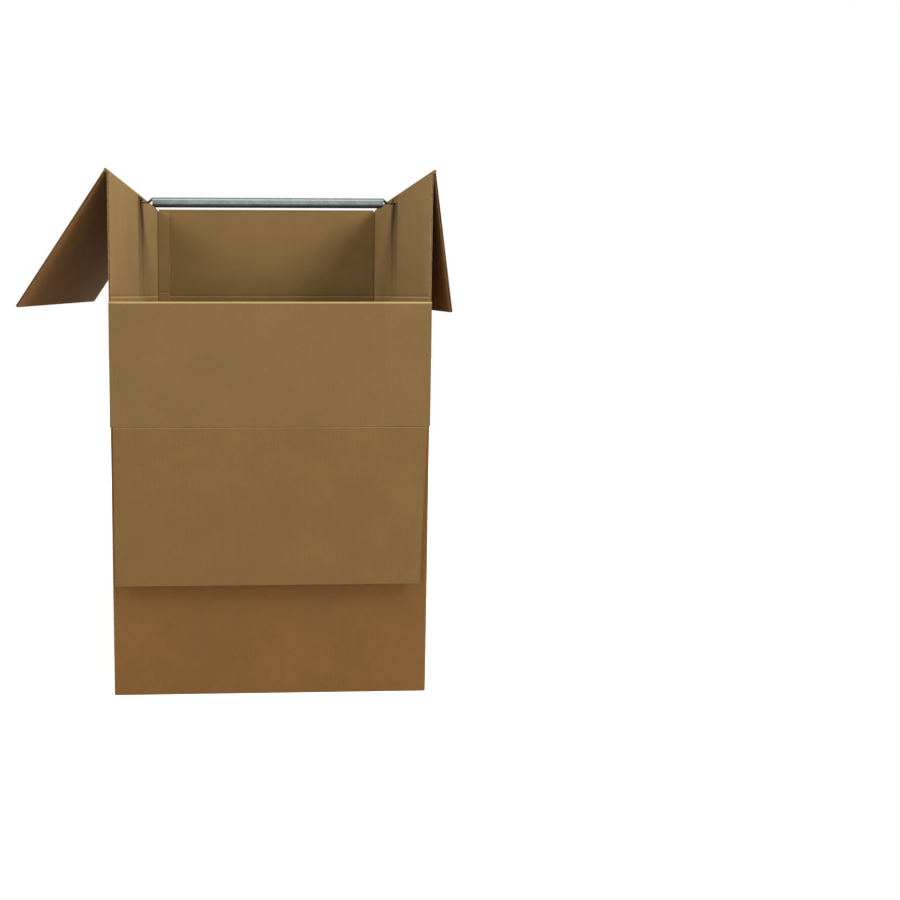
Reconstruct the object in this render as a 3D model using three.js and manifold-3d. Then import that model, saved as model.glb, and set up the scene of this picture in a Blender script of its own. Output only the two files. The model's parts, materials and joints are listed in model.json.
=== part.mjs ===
// Wardrobe moving box: a tall corrugated carton with a drop-down front door, open top flaps
// and a steel hanger bar that rests in notches in the two side walls.
// Millimetres, +Z up. The origin is the middle of the underside, on the floor. The front faces -Y.
import * as THREE from "three";
import { mergeVertices } from "three/addons/utils/BufferGeometryUtils.js";
import Module from "manifold-3d";

// Carton
const insideWidth = 610;
const insideDepth = 610;
const insideHeight = 1010;
const board = 4;
const cornerRadius = 3;
const innerCornerRadius = 0.75;
const touch = 0.3;
const bottomSeam = 2;
const glueTabWidth = 32;
const glueTabSlope = 14;

// Front door
const doorHeight = 241;
const doorSideInset = 1;
const doorFoldRadius = 3.4;
const doorTilt = 1.1;

// Top flaps
const foldSlack = 0.7;
const closedSeam = 2;
const innerFlapInset = 3;
const outerFlapInset = 5;
const flapTaper = 5;
const frontFlapTaperRight = 12;
const frontFlapTaperLeft = 1;
const rightFlapShort = 40;
const leftFlapTilt = 34;
const rightFlapTilt = 8.2;
const backFlapTilt = 9;
const frontFlapTilt = 0.5;

// Hanger bar and its notches
const notchWidth = 76;
const notchDepth = 16;
const notchBehindCentre = 35;
const notchRadius = 3;
const steel = 1.2;
const barWidth = 30;
const barFlange = 17;
const barBead = 2.5;
const barEndGap = 30;
const barBendRadius = 2.4;
const barUnderFlaps = 0.5;
const tongueWidth = 25;
const tongueSlope = 12;
const hookDrop = 8;

// Tape under the bottom seam
const tapeWidth = 72;
const tapeThickness = 0.3;
const tapeUpWall = 64;

// Levels and faces that follow from the sizes above
const outerX = insideWidth / 2 + board;
const outerY = insideDepth / 2 + board;
const underside = tapeThickness + touch;
const innerLayer = underside + board + touch;
const floorTop = innerLayer + board;
const innerFold = floorTop + insideHeight;
const outerFold = innerFold + board + touch;
const doorFold = innerFold - doorHeight;
const hingeOut = board / 2 + foldSlack;
const notchFloor = outerFold - notchDepth;
const foldBead = Math.hypot(hingeOut, board / 2 + touch) - touch;

// How far a cutter runs past the face that it cuts, and the steps in a round edge.
const cutPast = 1;
const cornerSteps = 6;
const bendSteps = 10;
const beadSteps = 16;
const foldSteps = 24;

const kraftInside = new THREE.MeshStandardMaterial({ color: 0x96774d, roughness: 0.9, metalness: 0 });
const kraftFlap = new THREE.MeshStandardMaterial({ color: 0x8a6c42, roughness: 0.9, metalness: 0 });
const galvanised = new THREE.MeshStandardMaterial({ color: 0x8a918f, roughness: 0.45, metalness: 0.9 });
const tapeFilm = new THREE.MeshStandardMaterial({ color: 0xb08a55, roughness: 0.3, metalness: 0 });

const wasm = await Module();
wasm.setup();

// Turns a three.js geometry into a closed manifold solid.
function solid(geometry) {
  geometry.deleteAttribute("normal");
  geometry.deleteAttribute("uv");
  const merged = mergeVertices(geometry, 1e-4);
  return new wasm.Manifold(
    new wasm.Mesh({
      numProp: 3,
      vertProperties: new Float32Array(merged.attributes.position.array),
      triVerts: new Uint32Array(merged.index.array),
    }),
  );
}

// Makes a named mesh from a manifold solid.
function meshOf(name, shape, material) {
  const data = shape.getMesh();
  const geometry = new THREE.BufferGeometry();
  geometry.setAttribute("position", new THREE.BufferAttribute(data.vertProperties, 3));
  geometry.setIndex(new THREE.BufferAttribute(data.triVerts, 1));
  geometry.computeVertexNormals();
  const mesh = new THREE.Mesh(geometry, material);
  mesh.name = name;
  return mesh;
}

// A block between two corners.
function block(x0, x1, y0, y1, z0, z1) {
  const geometry = new THREE.BoxGeometry(x1 - x0, y1 - y0, z1 - z0);
  geometry.translate((x0 + x1) / 2, (y0 + y1) / 2, (z0 + z1) / 2);
  return solid(geometry);
}

// A rectangle outline with round corners, as a shape or as a hole in one.
function roundedRectangle(path, x0, x1, y0, y1, radius) {
  path.moveTo(x0 + radius, y0);
  path.lineTo(x1 - radius, y0);
  path.absarc(x1 - radius, y0 + radius, radius, -Math.PI / 2, 0);
  path.lineTo(x1, y1 - radius);
  path.absarc(x1 - radius, y1 - radius, radius, 0, Math.PI / 2);
  path.lineTo(x0 + radius, y1);
  path.absarc(x0 + radius, y1 - radius, radius, Math.PI / 2, Math.PI);
  path.lineTo(x0, y0 + radius);
  path.absarc(x0 + radius, y0 + radius, radius, Math.PI, Math.PI * 1.5);
  return path;
}

// Sweeps an outline straight along Z, with round stretches in the given number of steps.
function sweep(shape, depth, steps) {
  return new THREE.ExtrudeGeometry(shape, { depth: depth, bevelEnabled: false, curveSegments: steps });
}

// Sweeps an outline drawn in X and Y up by a height, from a level.
function extrudeUp(shape, height, level) {
  const geometry = sweep(shape, height, cornerSteps);
  geometry.translate(0, 0, level);
  return solid(geometry);
}

// Sweeps an outline drawn in Y and Z along X, centred on x = 0.
function extrudeAlongX(shape, length) {
  const geometry = sweep(shape, length, bendSteps);
  geometry.translate(0, 0, -length / 2);
  geometry.applyMatrix4(
    new THREE.Matrix4().set(0, 0, 1, 0, 1, 0, 0, 0, 0, 1, 0, 0, 0, 0, 0, 1),
  );
  return solid(geometry);
}

// Sweeps an outline drawn in X and Z along Y, between two depths.
function extrudeAlongY(shape, y0, y1) {
  const geometry = sweep(shape, y1 - y0, bendSteps);
  geometry.applyMatrix4(
    new THREE.Matrix4().set(1, 0, 0, 0, 0, 0, -1, y1, 0, 1, 0, 0, 0, 0, 0, 1),
  );
  return solid(geometry);
}

// The four walls in one ring, cut down to each wall's own height.
function walls() {
  const ring = roundedRectangle(new THREE.Shape(), -outerX, outerX, -outerY, outerY, cornerRadius);
  const inside = insideWidth / 2;
  const deep = insideDepth / 2;
  ring.holes.push(roundedRectangle(new THREE.Path(), -inside, inside, -deep, deep, innerCornerRadius));
  const top = outerFold - touch;
  let shape = extrudeUp(ring, top - underside, underside);
  const wide = outerX + cutPast;
  const far = outerY + cutPast;
  const over = top + cutPast;
  shape = shape.subtract(block(-wide, wide, -far, -deep + touch, doorFold - touch, over));
  shape = shape.subtract(block(-inside, inside, deep - cutPast, far, innerFold - touch, over));
  return shape;
}

// Rounds the inside edge along the top of the front wall, where the door's liner folds over.
function frontFoldCutter() {
  const edgeY = -insideDepth / 2;
  const edgeZ = doorFold - touch;
  const corner = new THREE.Shape();
  corner.moveTo(edgeY + cutPast, edgeZ + cutPast);
  corner.lineTo(edgeY + cutPast, edgeZ - doorFoldRadius);
  corner.lineTo(edgeY, edgeZ - doorFoldRadius);
  corner.absarc(edgeY - doorFoldRadius, edgeZ - doorFoldRadius, doorFoldRadius, 0, Math.PI / 2);
  corner.lineTo(edgeY - doorFoldRadius, edgeZ + cutPast);
  return extrudeAlongX(corner, 2 * (outerX + cutPast));
}

// Bottom flaps: the side pair lies inside on the front and back pair, each pair meeting at a seam.
function bottomFlaps() {
  const inside = insideWidth / 2 + board / 2;
  const deep = insideDepth / 2 + board / 2;
  const half = bottomSeam / 2;
  const pieces = [];
  for (const side of [-1, 1]) {
    const near = side * half;
    const farY = side * deep;
    const farX = side * inside;
    const [y0, y1] = [Math.min(near, farY), Math.max(near, farY)];
    const [x0, x1] = [Math.min(near, farX), Math.max(near, farX)];
    pieces.push(block(-inside, inside, y0, y1, underside, underside + board));
    pieces.push(block(x0, x1, -deep, deep, innerLayer, floorTop));
  }
  return pieces;
}

// Manufacturer's joint: a tab of the left wall's sheet glued inside the back wall, its top cut on a slope.
function glueTab() {
  const left = -insideWidth / 2 - board / 2;
  const right = -insideWidth / 2 + glueTabWidth;
  const top = innerFold - touch;
  const outline = new THREE.Shape();
  outline.moveTo(left, floorTop - board / 2);
  outline.lineTo(right, floorTop - board / 2);
  outline.lineTo(right, top - glueTabSlope);
  outline.lineTo(-insideWidth / 2, top);
  outline.lineTo(left, top);
  const face = insideDepth / 2;
  return extrudeAlongY(outline, face - board, face + board / 2);
}

// Cuts the bar's notch through one side wall, open at the top and round at the bottom corners.
function notchCutter() {
  const outline = roundedRectangle(
    new THREE.Shape(),
    notchBehindCentre - notchWidth / 2,
    notchBehindCentre + notchWidth / 2,
    notchFloor,
    outerFold + notchDepth,
    notchRadius,
  );
  return extrudeAlongX(outline, 2 * (outerX + cutPast));
}

function cartonBody() {
  let shape = walls();
  for (const piece of [...bottomFlaps(), glueTab()]) shape = shape.add(piece);
  shape = shape.subtract(frontFoldCutter());
  shape = shape.subtract(notchCutter());
  return meshOf("carton_body", shape, kraftInside);
}

// One strip of tape under the bottom seam and a little way up both side walls.
function bottomTape() {
  const face = outerX + touch;
  const outside = face + tapeThickness;
  const outline = new THREE.Shape();
  outline.moveTo(-outside, tapeUpWall);
  outline.lineTo(-outside, 0);
  outline.lineTo(outside, 0);
  outline.lineTo(outside, tapeUpWall);
  outline.lineTo(face, tapeUpWall);
  outline.lineTo(face, tapeThickness);
  outline.lineTo(-face, tapeThickness);
  outline.lineTo(-face, tapeUpWall);
  return meshOf("bottom_tape", extrudeAlongY(outline, -tapeWidth / 2, tapeWidth / 2), tapeFilm);
}

// The bar's channel section: a flat web, two flanges and a rolled bead along each lower edge.
function channelSection(top) {
  const half = barWidth / 2;
  const bend = barBendRadius;
  const bottom = top - barFlange;
  const outline = new THREE.Shape();
  outline.moveTo(-half, bottom);
  outline.lineTo(-half, top - bend);
  outline.absarc(-half + bend, top - bend, bend, Math.PI, Math.PI / 2, true);
  outline.lineTo(half - bend, top);
  outline.absarc(half - bend, top - bend, bend, Math.PI / 2, 0, true);
  outline.lineTo(half, bottom);
  outline.lineTo(half - steel, bottom);
  outline.lineTo(half - steel, top - bend);
  outline.absarc(half - bend, top - bend, bend - steel, 0, Math.PI / 2);
  outline.lineTo(-half + bend, top - steel);
  outline.absarc(-half + bend, top - bend, bend - steel, Math.PI / 2, Math.PI);
  outline.lineTo(-half + steel, bottom);
  return outline;
}

// One end of the bar: the web steps down, runs out over the notch and hooks down outside the wall.
function barEnd(side, top) {
  const seat = notchFloor + touch;
  const inner = insideWidth / 2 - barEndGap;
  const stepEnd = inner + tongueSlope;
  const hookIn = outerX + touch;
  const hookOut = hookIn + steel;
  const bend = barBendRadius;
  const outline = new THREE.Shape();
  outline.moveTo(inner - tongueSlope, top);
  outline.lineTo(inner, top);
  outline.lineTo(stepEnd, seat + steel);
  outline.lineTo(hookOut - bend, seat + steel);
  outline.absarc(hookOut - bend, seat + steel - bend, bend, Math.PI / 2, 0, true);
  outline.lineTo(hookOut, seat - hookDrop);
  outline.lineTo(hookIn, seat - hookDrop);
  outline.lineTo(hookIn, seat);
  outline.lineTo(stepEnd - steel / 2, seat);
  outline.lineTo(inner - steel / 2, top - steel);
  outline.lineTo(inner - tongueSlope, top - steel);
  const plate = extrudeAlongY(outline, -tongueWidth / 2, tongueWidth / 2);
  return side > 0 ? plate : plate.mirror([1, 0, 0]);
}

function hangerBar() {
  const top = innerFold - barUnderFlaps;
  const length = insideWidth - 2 * barEndGap;
  let shape = extrudeAlongX(channelSection(top), length);
  for (const side of [-1, 1]) {
    const bead = new THREE.CylinderGeometry(barBead, barBead, length, beadSteps);
    bead.rotateZ(Math.PI / 2);
    bead.translate(0, side * (barWidth / 2 - barBead), top - barFlange - barBead / 2);
    shape = shape.add(solid(bead));
    shape = shape.add(barEnd(side, top));
  }
  const mesh = meshOf("hanger_bar", shape, galvanised);
  mesh.position.y = notchBehindCentre;
  return mesh;
}

// A flap that hangs down from a round fold along its own X axis, narrowing towards its free edge
// by one taper at each side.
// Where it folds right back, the fold bulges to the wall's top edge.
function flapSolid(length, width, foldRadius, tapers) {
  const half = board / 2;
  const section = new THREE.Shape();
  section.moveTo(half, 0);
  section.absarc(0, 0, half, 0, Math.PI);
  section.lineTo(-half, -length);
  section.lineTo(half, -length);
  const fold = new THREE.CylinderGeometry(foldRadius, foldRadius, width, foldSteps);
  fold.rotateZ(Math.PI / 2);
  const sheet = extrudeAlongX(section, width).add(solid(fold));
  const outline = new THREE.Shape();
  const root = width / 2;
  const past = 2 * board;
  outline.moveTo(-root, past);
  outline.lineTo(-root, -board);
  outline.lineTo(-root + tapers[0], -length);
  outline.lineTo(root - tapers[1], -length);
  outline.lineTo(root, -board);
  outline.lineTo(root, past);
  return sheet.intersect(extrudeAlongY(outline, -past, past));
}

// The door hangs from the outer face of the front wall; its liner rounds the fold at the top.
function doorSolid() {
  const near = touch / 2;
  const far = near + board;
  const top = -touch;
  const end = -doorHeight + touch;
  const section = new THREE.Shape();
  section.moveTo(near, end);
  section.lineTo(far, end);
  section.lineTo(far, top - doorFoldRadius);
  section.absarc(far - doorFoldRadius, top - doorFoldRadius, doorFoldRadius, 0, Math.PI / 2);
  section.lineTo(near, top);
  return extrudeAlongX(section, 2 * (outerX - doorSideInset));
}

// A frame on a fold line: its X axis is the fold, its Y axis points out of the carton.
function foldFrame(x, y, z, turn, tilt) {
  const frame = new THREE.Group();
  frame.position.set(x, y, z);
  frame.rotation.set(THREE.MathUtils.degToRad(tilt), 0, THREE.MathUtils.degToRad(turn), "ZXY");
  return frame;
}

const group = new THREE.Group();
group.add(cartonBody());
group.add(bottomTape());
group.add(hangerBar());

const sideFlapWidth = 2 * outerY - 2 * outerFlapInset;
const innerFlapWidth = insideWidth - 2 * innerFlapInset;
const sideFlapLength = outerX + hingeOut - closedSeam / 2;
const rightFlapLength = sideFlapLength - rightFlapShort;
const evenTapers = [flapTaper, flapTaper];
const frontTapers = [frontFlapTaperRight, frontFlapTaperLeft];

const leftFold = foldFrame(-outerX - hingeOut, 0, outerFold + board / 2, 90, leftFlapTilt);
const leftFlap = flapSolid(sideFlapLength, sideFlapWidth, foldBead, evenTapers);
leftFold.add(meshOf("left_flap", leftFlap, kraftFlap));
group.add(leftFold);

const rightFold = foldFrame(outerX + hingeOut, 0, outerFold + board / 2, -90, rightFlapTilt);
const rightFlap = flapSolid(rightFlapLength, sideFlapWidth, foldBead, evenTapers);
rightFold.add(meshOf("right_flap", rightFlap, kraftFlap));
group.add(rightFold);

const backFold = foldFrame(0, outerY + hingeOut, innerFold + board / 2, 0, backFlapTilt);
const backFlapLength = outerY + hingeOut - closedSeam / 2;
const backFlap = flapSolid(backFlapLength, innerFlapWidth, foldBead, evenTapers);
backFold.add(meshOf("back_flap", backFlap, kraftFlap));
group.add(backFold);

const doorFrame = foldFrame(0, -outerY - touch / 2, doorFold, 180, doorTilt);
doorFrame.add(meshOf("front_door", doorSolid(), kraftInside));
const frontFold = foldFrame(0, touch / 2 + board / 2, -doorHeight - board / 2, 0, frontFlapTilt);
const frontFlapLength = outerY - board / 2 - closedSeam / 2;
const frontFlap = flapSolid(frontFlapLength, innerFlapWidth, board / 2, frontTapers);
frontFold.add(meshOf("front_flap", frontFlap, kraftInside));
doorFrame.add(frontFold);
group.add(doorFrame);

export default group;
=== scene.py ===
import json
import math

import bpy
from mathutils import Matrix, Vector


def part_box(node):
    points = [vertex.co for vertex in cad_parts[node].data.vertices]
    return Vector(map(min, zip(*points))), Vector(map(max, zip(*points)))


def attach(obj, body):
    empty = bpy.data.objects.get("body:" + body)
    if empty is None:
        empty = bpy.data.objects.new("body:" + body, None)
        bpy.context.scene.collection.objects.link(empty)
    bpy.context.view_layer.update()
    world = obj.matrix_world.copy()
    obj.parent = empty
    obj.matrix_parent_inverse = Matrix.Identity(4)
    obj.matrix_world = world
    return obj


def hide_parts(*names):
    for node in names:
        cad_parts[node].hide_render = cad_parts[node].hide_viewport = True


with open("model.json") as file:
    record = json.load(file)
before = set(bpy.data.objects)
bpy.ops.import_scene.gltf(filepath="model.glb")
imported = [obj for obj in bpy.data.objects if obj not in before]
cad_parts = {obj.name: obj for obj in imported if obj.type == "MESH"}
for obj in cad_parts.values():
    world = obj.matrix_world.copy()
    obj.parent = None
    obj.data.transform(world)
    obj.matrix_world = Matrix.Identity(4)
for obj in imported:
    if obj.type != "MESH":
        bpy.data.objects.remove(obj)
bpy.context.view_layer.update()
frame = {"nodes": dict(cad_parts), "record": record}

bpy.ops.object.select_all(action="DESELECT")


# Camera: a step away from the front, a little above the door's fold, looking slightly down.
# The shift keeps the carton in the left half of a square frame with its walls nearly upright.
camera_place = (-0.0256, -1.5761, 0.8020)
camera_tip_down = math.radians(3.969)
camera_roll = math.radians(-0.057)
camera_turn = math.radians(-1.499)
camera_data = bpy.data.cameras.new("camera")
camera_data.sensor_width = 36
camera_data.lens = 26.53
camera_data.shift_x = 0.1944
camera_data.shift_y = -0.1278
camera = bpy.data.objects.new("camera", camera_data)
camera.location = camera_place
camera.rotation_euler = (math.radians(90) - camera_tip_down, camera_roll, camera_turn)
bpy.context.scene.collection.objects.link(camera)
bpy.context.scene.camera = camera


# Carton body: the wrapped walls and the closed bottom, one sheet of single-wall corrugated board.
# Kraft liner is matt, with short fibres, a soft mottle and a faint washboard over the flutes, given as
# a bump and as a ripple of painted shade in the colour.
# The inside liner is greyer than the outside one, and scores press a line into it.
inner_liner_colour = "84683E"
outer_liner_colour = "855F32"
board = 0.004
half_board = board / 2
flute_pitch = 0.0076
hair = 0.0001
liner_roughness = 0.88
liner_specular = 0.25
liner_bump = 0.25
liner_bump_depth = 0.0004
fibre_size = 0.0012
fibre_stretch = 0.35
fibre_contrast = 0.07
mottle_size = 0.09
mottle_contrast = 0.06
washboard_shade_share = 0.3
noise_low = 0.3
noise_high = 0.7
facing_limit = 0.7


def linear(code):
    """An sRGB hex colour as linear values."""
    values = [int(code[i : i + 2], 16) / 255 for i in (0, 2, 4)]
    return tuple(v / 12.92 if v <= 0.04045 else ((v + 0.055) / 1.055) ** 2.4 for v in values) + (1.0,)


def add(tree, kind, inputs=None, **settings):
    """Adds a node with its settings, and gives each named input a value or a link."""
    made = tree.nodes.new(kind)
    for key, value in settings.items():
        setattr(made, key, value)
    for key, value in (inputs or {}).items():
        if isinstance(value, bpy.types.NodeSocket):
            tree.links.new(value, made.inputs[key])
        else:
            made.inputs[key].default_value = value
    return made


def reckon(tree, operation, *values):
    """The result of one maths node on values or sockets."""
    return add(tree, "ShaderNodeMath", dict(enumerate(values)), operation=operation).outputs[0]


def product(tree, first, *others):
    """The first value times each of the others."""
    result = first
    for other in others:
        result = reckon(tree, "MULTIPLY", result, other)
    return result


def ramp(tree, value, from_low, from_high, to_low, to_high):
    """A value carried from one span to another, and held at the ends."""
    spans = {"From Min": from_low, "From Max": from_high, "To Min": to_low, "To Max": to_high}
    return add(tree, "ShaderNodeMapRange", {"Value": value, **spans}).outputs[0]


def noise(tree, vector, scale, detail, roughness):
    """A noise texture's value at a place."""
    inputs = {"Vector": vector, "Scale": scale, "Detail": detail, "Roughness": roughness}
    return add(tree, "ShaderNodeTexNoise", inputs).outputs["Fac"]


def wave_along(tree, value, pitch):
    """A sine wave along a coordinate."""
    return reckon(tree, "SINE", reckon(tree, "MULTIPLY", value, 2 * math.pi / pitch))


def between(tree, value, low, high, soft):
    """One inside a stretch of a coordinate, and nothing outside, with soft ends."""
    rise = ramp(tree, value, low - soft, low + soft, 0.0, 1.0)
    fall = ramp(tree, value, high - soft, high + soft, 1.0, 0.0)
    return product(tree, rise, fall)


def mixed(tree, share, first, second):
    """The first colour where the share is nothing, and the second where it is one."""
    made = add(tree, "ShaderNodeMix", data_type="RGBA")
    tree.links.new(share, made.inputs["Factor"])
    for socket, value in ((made.inputs[6], first), (made.inputs[7], second)):
        if isinstance(value, bpy.types.NodeSocket):
            tree.links.new(value, socket)
        else:
            socket.default_value = value
    return made.outputs[2]


def new_material(name):
    """An empty node material, ready for a shader, and its node tree."""
    made = bpy.data.materials.new(name)
    made.use_nodes = True
    made.node_tree.nodes.clear()
    return made, made.node_tree


def liner_surface(tree, colour_socket, place, across, washboard=0.05):
    """Kraft paper over flutes: the colour is broken up by fibres and mottle, and the washboard's light
    and shade is painted into it as a faint ripple, beside its bump.
    """
    stretched = add(tree, "ShaderNodeMapping", {"Vector": place, "Scale": (1, 1, fibre_stretch)})
    fibres = noise(tree, stretched.outputs["Vector"], 1 / fibre_size, 3.0, 0.6)
    mottle = noise(tree, place, 1 / mottle_size, 4.0, 0.62)
    wave = wave_along(tree, across, flute_pitch)
    shade = ramp(tree, fibres, noise_low, noise_high, 1 - fibre_contrast, 1 + fibre_contrast)
    cloud = ramp(tree, mottle, noise_low, noise_high, 1 - mottle_contrast, 1 + mottle_contrast)
    # Painted shade: the colour rises and falls with the washboard.
    washboard_shade = reckon(tree, "MULTIPLY_ADD", wave, washboard * washboard_shade_share, 1.0)
    level = product(tree, shade, cloud, washboard_shade)
    toned = add(tree, "ShaderNodeVectorMath", {0: colour_socket, "Scale": level}, operation="SCALE")
    height = reckon(tree, "MULTIPLY_ADD", wave, washboard, fibres)
    bump = add(
        tree,
        "ShaderNodeBump",
        {"Height": height, "Strength": liner_bump, "Distance": liner_bump_depth},
    )
    shader = add(
        tree,
        "ShaderNodeBsdfPrincipled",
        {
            "Base Color": toned.outputs["Vector"],
            "Roughness": liner_roughness,
            "Specular IOR Level": liner_specular,
            "Normal": bump.outputs["Normal"],
        },
    )
    add(tree, "ShaderNodeOutputMaterial", {"Surface": shader.outputs["BSDF"]})


joint_places = {row["name"]: Vector(row["pos_m"]) for row in frame["record"]["behaviour"]["joints"]}
body_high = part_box("carton_body")[1]
inside_x = body_high.x - board
inside_y = body_high.y - board
door_fold = joint_places["front_door_fold"].z
body_kraft, tree = new_material("body_kraft_liner")
place = add(tree, "ShaderNodeTexCoord").outputs
parts = add(tree, "ShaderNodeSeparateXYZ", {"Vector": place["Object"]}).outputs
facing = add(tree, "ShaderNodeSeparateXYZ", {"Vector": place["Normal"]}).outputs
faces_y = reckon(tree, "GREATER_THAN", reckon(tree, "ABSOLUTE", facing["Y"]), facing_limit)
across = add(
    tree,
    "ShaderNodeMix",
    {"Factor": faces_y, 2: parts["Y"], 3: parts["X"]},
    data_type="FLOAT",
).outputs[0]

# The inside reaches to the middle of the board, so the whole inner face counts as inside.
inside_soft = 0.0005
reach_x = inside_x + half_board
reach_y = inside_y + half_board
in_x = between(tree, parts["X"], -reach_x, reach_x, inside_soft)
in_y = between(tree, parts["Y"], -reach_y, reach_y, inside_soft)
is_inside = product(tree, in_x, in_y)
colour = mixed(tree, is_inside, linear(outer_liner_colour), linear(inner_liner_colour))

# Glued tab: its face stands forward of the back wall, and it is a little lighter.
tab_colour = "A08355"
tab_share = 0.35
tab_edge = -inside_x + 0.032
on_tab = product(tree, reckon(tree, "LESS_THAN", parts["X"], tab_edge + hair), faces_y)
at_back = reckon(tree, "GREATER_THAN", parts["Y"], 0.0)
tab = product(tree, on_tab, at_back, is_inside, tab_share)
colour = mixed(tree, tab, colour, linear(tab_colour))

# Score: pressed round the inside a little above the door's fold, higher at the front and on the tab.
# It has a painted highlight along the score, and a soft line of painted shade just above it.
score_highlight_colour = "A98A59"
score_shadow_colour = "57401F"
score_shadow_share = 0.35
score_level = door_fold + 0.002
score_half = 0.0014
score_soft = 0.0006
score_shadow_from = 0.002
score_shadow_to = 0.006
score_shadow_soft = 0.0018
score_rise = 0.0058
tab_score_rise = 0.010
forward = ramp(tree, parts["Y"], inside_y, -inside_y, 0.0, score_rise)
rise = reckon(tree, "MULTIPLY_ADD", on_tab, tab_score_rise, forward)
score_height = reckon(tree, "SUBTRACT", parts["Z"], rise)
score_low = score_level - score_half
score_high = score_level + score_half
score_highlight = between(tree, score_height, score_low, score_high, score_soft)
colour = mixed(tree, product(tree, score_highlight, is_inside), colour, linear(score_highlight_colour))
shadow_low = score_level + score_shadow_from
shadow_high = score_level + score_shadow_to
shadow = between(tree, score_height, shadow_low, shadow_high, score_shadow_soft)
shadow = product(tree, shadow, is_inside, score_shadow_share)
colour = mixed(tree, shadow, colour, linear(score_shadow_colour))

# Corner lines: painted shade where the walls meet at the back.
corner_shade_colour = "4A351B"
corner_shade_share = 0.6
corner_width = 0.0022
abs_x = reckon(tree, "ABSOLUTE", parts["X"])
corner_side = reckon(tree, "GREATER_THAN", abs_x, inside_x - corner_width)
corner_back = reckon(tree, "GREATER_THAN", parts["Y"], inside_y - board - corner_width)
corner_shade = product(tree, corner_side, corner_back, is_inside, corner_shade_share)
colour = mixed(tree, corner_shade, colour, linear(corner_shade_colour))

# Painted shade: the liner is darker in a strip below each notch, strongest under the notch.
notch_band_shade_colour = "4A331A"
notch_band_shade_low_share = 0.15
notch_band_shade_high_share = 0.75
notch_band_soft = 0.003
notch_centre = 0.035
notch_half = 0.038
notch_floor_level = body_high.z - 0.016
strip = between(tree, parts["Y"], notch_centre - notch_half, notch_centre + notch_half, notch_band_soft)
fade = ramp(tree, parts["Z"], score_level, notch_floor_level, notch_band_shade_low_share, notch_band_shade_high_share)
above_score = reckon(tree, "GREATER_THAN", parts["Z"], score_level)
side_wall = reckon(tree, "MULTIPLY_ADD", faces_y, -1.0, 1.0)
strip = product(tree, strip, fade, above_score, side_wall, is_inside)
colour = mixed(tree, strip, colour, linear(notch_band_shade_colour))

# Cut edges: the side walls' front edges and the notches' sides show both liners and torn medium.
# The perforation left small nicks down the front edges. A notch's floor shows the flutes' wave.
cut_liner_colour = "B29263"
medium_colour = "7E6040"
# The flute hollows in the board's middle get a dark colour: painted shade.
hollow_shade_colour = "2A1C10"
nick_colour = "5E4426"
nick_pitch = 0.0127
nick_from = 0.75
nick_share = 0.4
cut_inset = 0.0002
cut_soft = 0.00005
back_margin = 0.1
hollow_half = 0.0015
torn_scale = 260.0
torn_low = 0.32
torn_high = 0.48
torn_least = 0.25
wave_height = 0.0013
wave_line_half = 0.00022
wave_line_soft = 0.00008
off_middle = reckon(tree, "SUBTRACT", abs_x, inside_x + half_board)
cut_half = half_board - cut_inset
in_board = between(tree, off_middle, -cut_half, cut_half, cut_soft)
above_door = reckon(tree, "GREATER_THAN", parts["Z"], door_fold)
before_back = reckon(tree, "LESS_THAN", parts["Y"], inside_y - back_margin)
cut_edge = product(tree, in_board, above_door, before_back)
hollow = between(tree, off_middle, -hollow_half, hollow_half, hair)
torn = noise(tree, place["Object"], torn_scale, 2.0, 0.6)
torn = ramp(tree, torn, torn_low, torn_high, torn_least, 1.0)
flute_wave = wave_along(tree, parts["Y"], flute_pitch)
wave_off = reckon(tree, "MULTIPLY_ADD", flute_wave, -wave_height, off_middle)
wave_line = between(tree, wave_off, -wave_line_half, wave_line_half, wave_line_soft)
medium_seen = add(
    tree,
    "ShaderNodeMix",
    {"Factor": faces_y, 2: wave_line, 3: torn},
    data_type="FLOAT",
).outputs[0]
# Painted shade where the medium is not seen between the liners.
middle_colour = mixed(tree, medium_seen, linear(hollow_shade_colour), linear(medium_colour))
nick = reckon(tree, "GREATER_THAN", wave_along(tree, parts["Z"], nick_pitch), nick_from)
nick = product(tree, nick, nick_share)
nicked = mixed(tree, nick, linear(cut_liner_colour), linear(nick_colour))
cut_colour = mixed(tree, hollow, nicked, middle_colour)
colour = mixed(tree, cut_edge, colour, cut_colour)
liner_surface(tree, colour, place["Object"], across)

body = frame["nodes"]["carton_body"]
body.data.materials.clear()
body.data.materials.append(body_kraft)


# Bottom tape: one strip of brown polypropylene packing tape along the bottom seam and up the sides.
# The film is smooth and shiny, with a faint unevenness of tone.
tape_colour = "8C6231"
tape_contrast = 0.08
tape_roughness = 0.38
tape_ior = 1.49
wrinkle_scale = 60.0
wrinkle_bump = 0.3
wrinkle_depth = 0.0005
tape_material, tree = new_material("brown_packing_tape_film")
place = add(tree, "ShaderNodeTexCoord").outputs
wrinkles = noise(tree, place["Object"], wrinkle_scale, 3.0, 0.5)
tint = ramp(tree, wrinkles, noise_low, noise_high, 1 - tape_contrast, 1 + tape_contrast)
toned = add(
    tree,
    "ShaderNodeVectorMath",
    {0: linear(tape_colour)[:3], "Scale": tint},
    operation="SCALE",
)
bump = add(
    tree,
    "ShaderNodeBump",
    {"Height": wrinkles, "Strength": wrinkle_bump, "Distance": wrinkle_depth},
)
shader = add(
    tree,
    "ShaderNodeBsdfPrincipled",
    {
        "Base Color": toned.outputs["Vector"],
        "Roughness": tape_roughness,
        "IOR": tape_ior,
        "Normal": bump.outputs["Normal"],
    },
)
add(tree, "ShaderNodeOutputMaterial", {"Surface": shader.outputs["BSDF"]})
tape = frame["nodes"]["bottom_tape"]
tape.data.materials.clear()
tape.data.materials.append(tape_material)
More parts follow.
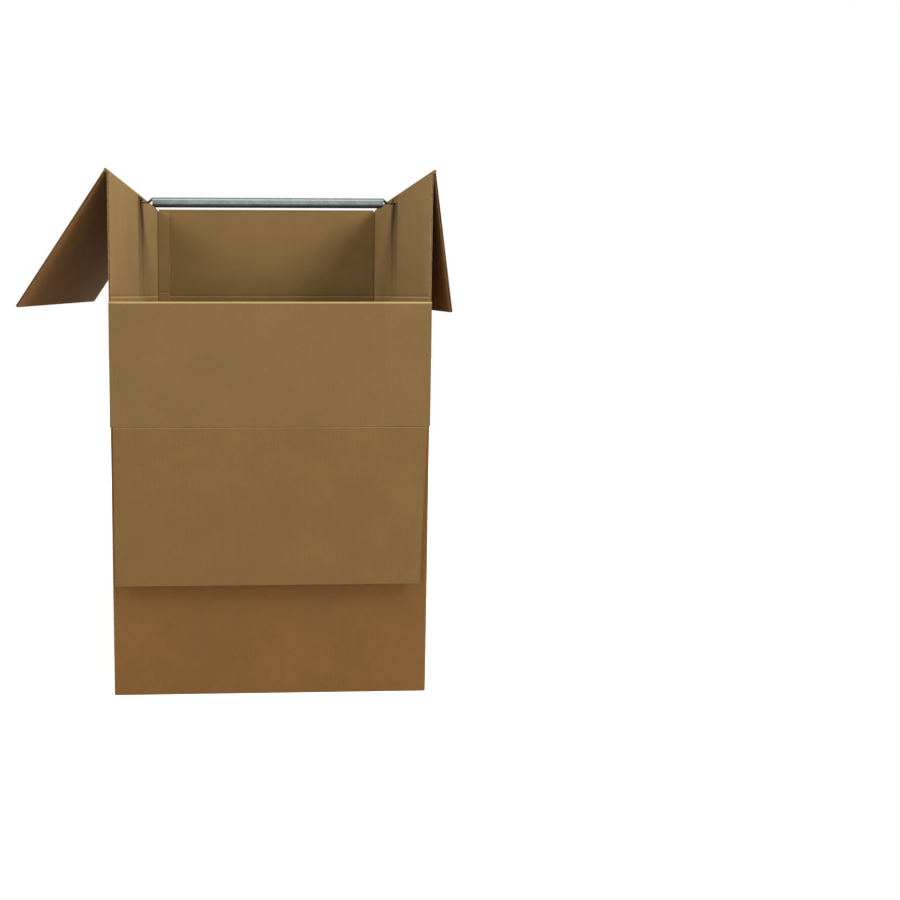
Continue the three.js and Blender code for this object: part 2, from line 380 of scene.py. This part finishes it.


# Hanger bar: cold-rolled steel strip bent to a channel, dull from hot-dip galvanising.
# The zinc shows a soft spangle and long draw marks from the roll forming, along the bar.
# A painted highlight runs in a line under its upper bend, and painted shade darkens the bar from the
# rolled beads down.
zinc_dark = "646D6B"
zinc_light = "8B9593"
highlight_zinc = "B4BCBA"
bead_shade_colour = "262B2A"
bead_shade_share = 0.8
spangle_size = 0.012
spangle_share = 0.4
spangle_least = 0.3
zinc_shiny = 0.32
zinc_dull = 0.5
draw_mark_size = 0.0008
draw_stretch = 0.02
draw_bump = 0.15
draw_depth = 0.0002
highlight_line_low = 0.0062
highlight_line_high = 0.0040
highlight_line_soft = 0.0006
bead_from = 0.0152
zinc_metallic = 0.9
bar_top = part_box("hanger_bar")[1].z
steel, tree = new_material("galvanised_steel")
place = add(tree, "ShaderNodeTexCoord").outputs
bar_height = add(tree, "ShaderNodeSeparateXYZ", {"Vector": place["Object"]}).outputs["Z"]
spangle = add(tree, "ShaderNodeTexVoronoi", {"Vector": place["Object"], "Scale": 1 / spangle_size})
spangle = add(tree, "ShaderNodeSeparateColor", {"Color": spangle.outputs["Color"]})
spangle_grey = spangle.outputs["Red"]
along_bar = add(
    tree,
    "ShaderNodeMapping",
    {"Vector": place["Object"], "Scale": (draw_stretch, 1.0, 1.0)},
)
marks = noise(tree, along_bar.outputs["Vector"], 1 / draw_mark_size, 2.0, 0.5)
share = reckon(tree, "MULTIPLY_ADD", spangle_grey, spangle_share, spangle_least)
zinc = mixed(tree, share, linear(zinc_dark), linear(zinc_light))
# Painted highlight: a light line under the upper bend.
line_low = bar_top - highlight_line_low
line_high = bar_top - highlight_line_high
highlight_band = between(tree, bar_height, line_low, line_high, highlight_line_soft)
zinc = mixed(tree, highlight_band, zinc, linear(highlight_zinc))
# Painted shade: the bar is darker from the rolled beads down.
bead_shade = product(tree, reckon(tree, "LESS_THAN", bar_height, bar_top - bead_from), bead_shade_share)
zinc = mixed(tree, bead_shade, zinc, linear(bead_shade_colour))
dull = ramp(tree, marks, noise_low, noise_high, zinc_shiny, zinc_dull)
bump = add(tree, "ShaderNodeBump", {"Height": marks, "Strength": draw_bump, "Distance": draw_depth})
shader = add(
    tree,
    "ShaderNodeBsdfPrincipled",
    {
        "Base Color": zinc,
        "Metallic": zinc_metallic,
        "Roughness": dull,
        "Normal": bump.outputs["Normal"],
    },
)
add(tree, "ShaderNodeOutputMaterial", {"Surface": shader.outputs["BSDF"]})
bar = frame["nodes"]["hanger_bar"]
bar.data.materials.clear()
bar.data.materials.append(steel)


# Top flaps: the left and right ones are outer flaps, and the back one lies under them when shut.
# Each is the wall's own board, so its cut edges show two liners with the fluted medium between them.
# A crushed round crease joins each flap to the wall.
liner_thickness = 0.00045
medium_thickness = 0.0003
wave_steps = 8
crease_steps = 24
crease_end_inset = 0.3
smooth_angle = math.radians(35)
flap_taper = 0.005
# The door's crease and the front flap's crease are coloured lighter: painted highlight.
crease_highlight_colour = "A78B5C"
front_flap_colour = "826439"
flap_crease_highlight_colour = "94784C"


def plain_kraft(name, code, coordinate, washboard=0.05):
    """Kraft liner of one colour, with its washboard across one axis of the piece."""
    made, nodes = new_material(name)
    where = add(nodes, "ShaderNodeTexCoord")
    axes = add(nodes, "ShaderNodeSeparateXYZ", {"Vector": where.outputs["Object"]})
    tone = add(nodes, "ShaderNodeRGB")
    tone.outputs[0].default_value = linear(code)
    liner_surface(nodes, tone.outputs[0], where.outputs["Object"], axes.outputs[coordinate], washboard)
    return made


inner_kraft_side = plain_kraft("inner_kraft_liner_side", inner_liner_colour, "Y")
outer_kraft_side = plain_kraft("outer_kraft_liner_side", outer_liner_colour, "Y")
inner_kraft_front = plain_kraft("inner_kraft_liner_front", inner_liner_colour, "X")
outer_kraft_front = plain_kraft("outer_kraft_liner_front", outer_liner_colour, "X")
medium_kraft = plain_kraft("fluted_medium_paper", medium_colour, "Z", 0.0)
# Painted highlight on the door's crease.
crease_highlight = plain_kraft("crease_highlight_liner", crease_highlight_colour, "X", 0.0)
lower_kraft = plain_kraft("inner_kraft_liner_front_flap", front_flap_colour, "X")
# Painted highlight on the front flap's crease.
flap_crease_highlight = plain_kraft("flap_crease_highlight_liner", flap_crease_highlight_colour, "X", 0.0)


def select_points(piece, wanted):
    """Selects the points of a piece in edit mode whose place passes a test, and nothing else."""
    bpy.ops.object.mode_set(mode="OBJECT")
    for point in piece.data.vertices:
        point.select = wanted(point.co)
    for edge in piece.data.edges:
        edge.select = all(piece.data.vertices[i].select for i in edge.vertices)
    for face in piece.data.polygons:
        face.select = all(piece.data.vertices[i].select for i in face.vertices)
    bpy.ops.object.mode_set(mode="EDIT")


def narrow_tip(piece, width, length, tapers):
    """Moves the free edge's corners in by the two tapers."""
    bpy.ops.mesh.select_mode(type="VERT")
    for side, taper in ((-1, tapers[0]), (1, tapers[1])):
        select_points(
            piece,
            lambda p, side=side: p.z < -length + hair and side * p.x > width / 2 - hair,
        )
        bpy.ops.transform.translate(value=(-side * taper, 0, 0))


def liner_plate(width, start, length, middle, tapers):
    """One flat liner of a board, from its start below the fold to its free edge."""
    bpy.ops.mesh.primitive_cube_add(size=1, location=(0, middle, -(start + length) / 2))
    plate = bpy.context.object
    plate.scale = (width, liner_thickness, length - start)
    bpy.ops.object.transform_apply(location=True, rotation=True, scale=True)
    bpy.ops.object.mode_set(mode="EDIT")
    narrow_tip(plate, width, length, tapers)
    bpy.ops.object.mode_set(mode="OBJECT")
    return plate


def fluted_sheet(width, start, length, middle, tapers):
    """The medium: a thin sheet in a sine wave across the board, its flutes running down the flap."""
    columns = round(width / flute_pitch) * wave_steps
    bpy.ops.mesh.primitive_grid_add(
        x_subdivisions=columns,
        y_subdivisions=1,
        size=1,
        location=(0, middle, -(start + length) / 2),
        rotation=(math.pi / 2, 0, 0),
    )
    sheet = bpy.context.object
    sheet.scale = (width, length - start, 1)
    bpy.ops.object.transform_apply(location=True, rotation=True, scale=True)
    height = half_board - liner_thickness - medium_thickness / 2
    bpy.ops.object.mode_set(mode="EDIT")
    bpy.ops.mesh.select_mode(type="VERT")
    step = width / columns
    for phase in range(wave_steps):
        lift = height * math.sin(2 * math.pi * phase / wave_steps)
        if abs(lift) > hair / 100:
            select_points(
                sheet,
                lambda p, phase=phase: round((p.x + width / 2) / step) % wave_steps == phase,
            )
            bpy.ops.transform.translate(value=(0, lift, 0))
    for side, taper in ((-1, tapers[0]), (1, tapers[1])):
        bpy.ops.mesh.select_all(action="SELECT")
        bpy.ops.mesh.bisect(
            plane_co=(side * width / 2, 0, 0),
            plane_no=(side * length, 0, -taper),
            clear_outer=True,
        )
    bpy.ops.object.mode_set(mode="OBJECT")
    bpy.ops.object.modifier_add(type="SOLIDIFY")
    sheet.modifiers[0].thickness = medium_thickness
    sheet.modifiers[0].offset = 0
    bpy.ops.object.modifier_apply(modifier=sheet.modifiers[0].name)
    return sheet


def make_board(name, width, length, tapers, near, materials, crease, start=0):
    """A sheet of corrugated board hanging from its fold: liners, medium and crease, in one piece.

    The liners and the medium begin at the start, below a crease that fills the whole board.
    """
    low, high = near + liner_thickness / 2, near + board - liner_thickness / 2
    pieces = [
        liner_plate(width, start, length, low, tapers),
        liner_plate(width, start, length, high, tapers),
        fluted_sheet(width, start, length, near + half_board, tapers),
        crease(),
    ]
    for piece, material in zip(pieces, materials):
        piece.data.materials.clear()
        piece.data.materials.append(material)
    bpy.ops.object.select_all(action="DESELECT")
    for piece in pieces:
        piece.select_set(True)
    bpy.context.view_layer.objects.active = pieces[0]
    bpy.ops.object.join()
    made = bpy.context.object
    made.name = name
    return made


def hang(piece, fold, turn, tilt, node, body_name):
    """Puts a board on its fold line, hangs it out by its tilt, and lets it stand for its CAD node."""
    piece.location = fold
    piece.rotation_euler = (math.radians(tilt), 0, math.radians(turn))
    bpy.ops.object.select_all(action="DESELECT")
    piece.select_set(True)
    bpy.context.view_layer.objects.active = piece
    bpy.ops.object.transform_apply(location=True, rotation=True, scale=True)
    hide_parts(node)
    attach(piece, body_name)


def crease_bead(width, radius):
    """The crushed crease of a top flap, which bulges to the wall's edge."""
    bpy.ops.mesh.primitive_cylinder_add(
        vertices=crease_steps, radius=radius, depth=width, rotation=(0, math.pi / 2, 0)
    )
    bead = bpy.context.object
    bpy.ops.object.transform_apply(location=True, rotation=True, scale=True)
    bpy.ops.object.mode_set(mode="EDIT")
    bpy.ops.mesh.select_all(action="DESELECT")
    bpy.ops.mesh.select_mode(type="FACE")
    select_points(bead, lambda p: abs(p.x) > width / 2 - hair)
    bpy.ops.mesh.inset(thickness=radius * crease_end_inset, depth=0)
    bpy.ops.object.mode_set(mode="OBJECT")
    bpy.ops.object.shade_smooth_by_angle(angle=smooth_angle)
    return bead


crease_radius = 0.00325
side_flaps = (
    ("left_flap", "left_flap_fold", 90, 34.0),
    ("right_flap", "right_flap_fold", -90, 8.2),
)
for node_name, joint_name, turn, tilt in side_flaps:
    low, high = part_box(node_name)
    fold = joint_places[joint_name]
    drop = fold.z - low.z
    angle = math.radians(tilt)
    length = (drop - half_board * math.sin(angle)) / math.cos(angle)
    width = high.y - low.y
    flap = make_board(
        node_name + "_board",
        width,
        length,
        (flap_taper, flap_taper),
        -half_board,
        (outer_kraft_side, inner_kraft_side, medium_kraft, inner_kraft_side),
        lambda width=width: crease_bead(width, crease_radius),
    )
    hang(flap, fold, turn, tilt, node_name, node_name)

back_flap_tilt = 9.0
low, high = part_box("back_flap")
fold = joint_places["back_flap_fold"]
angle = math.radians(back_flap_tilt)
length = (fold.z - low.z - half_board * math.sin(angle)) / math.cos(angle)
back_flap = make_board(
    "back_flap_board",
    high.x - low.x,
    length,
    (flap_taper, flap_taper),
    -half_board,
    (outer_kraft_front, inner_kraft_front, medium_kraft, inner_kraft_front),
    lambda: crease_bead(high.x - low.x, crease_radius),
)
hang(back_flap, fold, 0, back_flap_tilt, "back_flap", "back_flap")


# Front door: the top of the front wall, torn free along its perforated sides and folded down outside.
# It shows its inside liner, and that liner rolls over a round crease at the top, coloured lighter as a
# painted highlight.
door_tilt = 1.1
door_gap = 0.00015
fold_gap = 0.0003
door_crease_radius = 0.0034
door_crease_height = 0.0036
low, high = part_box("front_door")
fold = joint_places["front_door_fold"]
door_width = high.x - low.x
door_length = joint_places["front_flap_fold"] - fold
door_length = math.hypot(door_length.y, door_length.z) - half_board - fold_gap


def door_crease():
    """A solid strip of crushed board along the top of the door, round at its outer edge."""
    bpy.ops.mesh.primitive_cube_add(
        size=1, location=(0, door_gap + half_board, -fold_gap - door_crease_height / 2)
    )
    strip = bpy.context.object
    strip.scale = (door_width, board, door_crease_height)
    bpy.ops.object.transform_apply(location=True, rotation=True, scale=True)
    bpy.ops.object.mode_set(mode="EDIT")
    bpy.ops.mesh.select_mode(type="VERT")
    select_points(strip, lambda p: p.y > door_gap + half_board and p.z > -fold_gap - hair)
    bpy.ops.mesh.bevel(offset=door_crease_radius, segments=8, affect="EDGES")
    bpy.ops.object.mode_set(mode="OBJECT")
    bpy.ops.object.shade_smooth_by_angle(angle=smooth_angle)
    return strip


door = make_board(
    "front_door_board",
    door_width,
    door_length,
    (0, 0),
    door_gap,
    (outer_kraft_front, inner_kraft_front, medium_kraft, crease_highlight),
    door_crease,
    fold_gap + door_crease_height,
)
hang(door, fold, 180, door_tilt, "front_door", "front_door")


# Front flap: the front wall's own top flap, which hangs on below the door along its score.
# It narrows towards its free edge, more at the right than at the left.
front_flap_tilt = 1.6
front_flap_tapers = (0.012, 0.001)
low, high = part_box("front_flap")
fold = joint_places["front_flap_fold"]
angle = math.radians(front_flap_tilt)
length = (fold.z - low.z - half_board * math.sin(angle)) / math.cos(angle)
# Its crease carries a painted highlight.
front_flap = make_board(
    "front_flap_board",
    high.x - low.x,
    length,
    front_flap_tapers,
    -half_board,
    (outer_kraft_front, lower_kraft, medium_kraft, flap_crease_highlight),
    lambda: crease_bead(high.x - low.x, half_board),
)
hang(front_flap, fold, 180, front_flap_tilt, "front_flap", "front_flap")


# Floor and surroundings: a plain pale floor and a white room.
# Only what the camera or a reflection sees of them is white, and the light on the carton stays plain.
floor_size = 12
floor_level = -0.0005
floor_colour = "A8A39B"
white = "FFFFFF"
near_glow = 0.25
far_glow = 1.0
shadow_reach = 0.45
white_from = 1.6
room_light = 0.35
room_white = 1.0


def seen_directly(tree):
    """One where the camera, a reflection or a clear film shows the surroundings."""
    rays = add(tree, "ShaderNodeLightPath").outputs
    seen = reckon(tree, "MAXIMUM", rays["Is Camera Ray"], rays["Is Glossy Ray"])
    return reckon(tree, "MAXIMUM", seen, rays["Is Transmission Ray"])


bpy.ops.mesh.primitive_plane_add(size=floor_size, location=(0, 0, floor_level))
floor = bpy.context.object
floor.name = "floor"
floor_material, tree = new_material("pale_floor_paint")
seen = seen_directly(tree)
paint = mixed(tree, seen, linear(floor_colour), linear(white))
diffuse = add(tree, "ShaderNodeBsdfDiffuse", {"Color": paint})
floor_place = add(tree, "ShaderNodeTexCoord").outputs["Object"]
distance = add(tree, "ShaderNodeVectorMath", {0: floor_place}, operation="LENGTH").outputs["Value"]
floor_glow = ramp(tree, distance, shadow_reach, white_from, near_glow, far_glow)
lit = add(tree, "ShaderNodeEmission", {"Strength": product(tree, seen, floor_glow)})
both = add(tree, "ShaderNodeAddShader", {0: diffuse.outputs[0], 1: lit.outputs[0]})
add(tree, "ShaderNodeOutputMaterial", {"Surface": both.outputs[0]})
floor.data.materials.append(floor_material)

world = bpy.data.worlds.new("white_room")
bpy.context.scene.world = world
world.use_nodes = True
tree = world.node_tree
tree.nodes.clear()
strength = ramp(tree, seen_directly(tree), 0.0, 1.0, room_light, room_white)
room = add(tree, "ShaderNodeBackground", {"Color": linear(white), "Strength": strength})
add(tree, "ShaderNodeOutputWorld", {"Surface": room.outputs["Background"]})


# Lamps: a large soft lamp high at each side, so that the inside of the walls is lit, and two weak
# ones in front, which reach under the side flaps. Each row is a name, place, size and power.
lamps = (
    ("right_lamp", (2.9, -1.0, 3.2), 2.0, 190),
    ("left_lamp", (-2.9, -1.0, 3.2), 2.0, 120),
    ("front_right_lamp", (1.4, -2.4, 1.3), 1.6, 10),
    ("front_left_lamp", (-1.0, -2.4, 1.3), 1.6, 5),
)
lamp_target = Vector((0, 0, 0.6))
for name, place, size, power in lamps:
    light = bpy.data.lights.new(name, "AREA")
    light.shape = "SQUARE"
    light.size = size
    light.energy = power
    lamp = bpy.data.objects.new(name, light)
    lamp.location = place
    lamp.rotation_euler = (lamp_target - Vector(place)).to_track_quat("-Z", "Y").to_euler()
    bpy.context.scene.collection.objects.link(lamp)

bpy.context.scene.view_settings.view_transform = "Standard"
